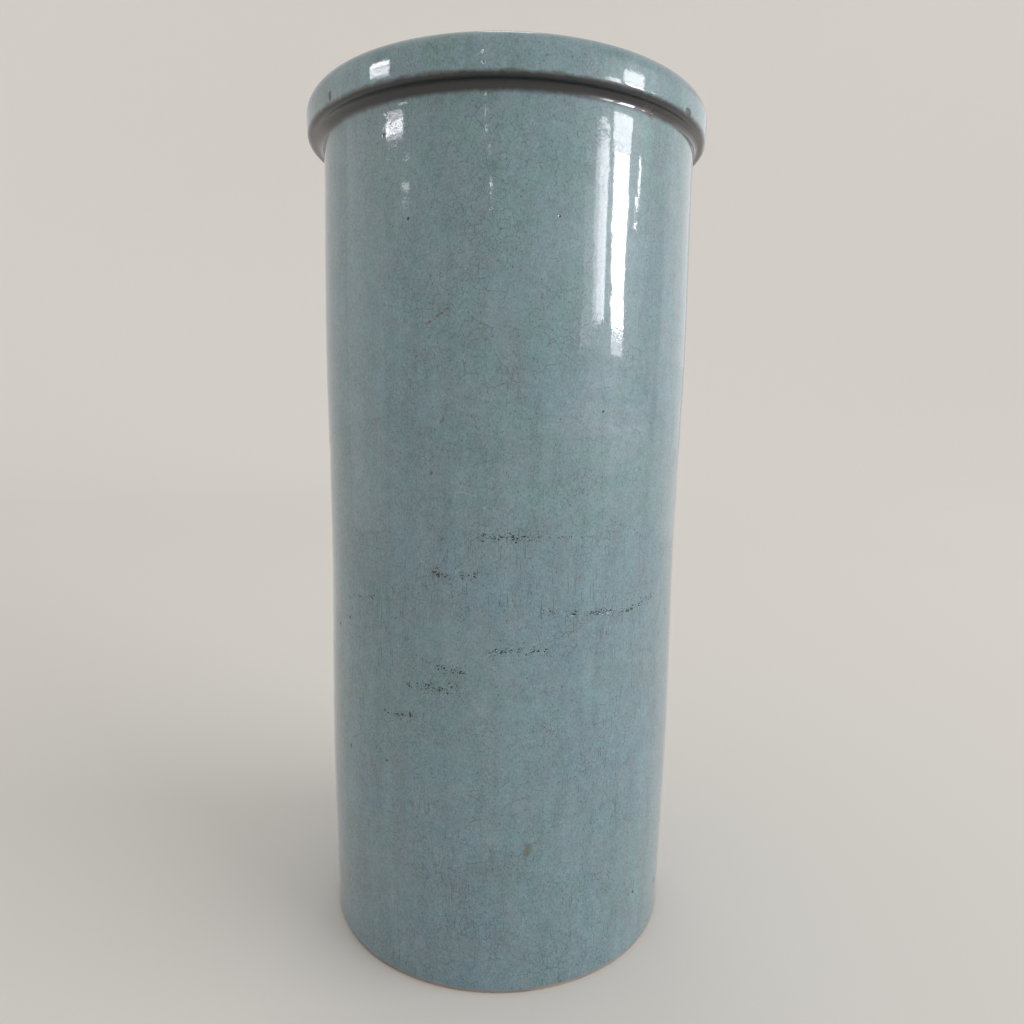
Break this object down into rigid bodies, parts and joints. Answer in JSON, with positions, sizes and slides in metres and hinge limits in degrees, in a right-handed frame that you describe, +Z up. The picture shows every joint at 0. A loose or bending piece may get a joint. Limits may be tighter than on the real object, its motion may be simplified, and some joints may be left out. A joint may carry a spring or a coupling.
{
  "type": "brush pot",
  "caption": "Tall, slightly tapered cylindrical stoneware pot with a thick rolled rim and a crackled celadon glaze, open at the top, for standing brushes or scrolls.",
  "frame": {"origin": "centre of the foot ring, on the surface that the pot stands on", "axes": "+Z up along the pot's axis, out of its mouth; -Y is the side that carries the rows of pits in the glaze"},
  "size_m": [0.2087, 0.2088, 0.42],
  "materials": {
    "bare_clay": "matte unglazed fired stoneware",
    "outer_glaze": "glossy grey-green celadon with a fine dark crackle, specks and pits",
    "inner_glaze": "glossy grey-green celadon with a fine dark crackle"
  },
  "bodies": {
    "root": {"foot_ring": "bare_clay", "base_slab": "bare_clay", "lower_wall": "bare_clay", "upper_wall": "bare_clay", "rim_roll": "bare_clay", "outer_glaze_coat": "outer_glaze", "inner_glaze_coat": "inner_glaze"}
  },
  "joints": []
}
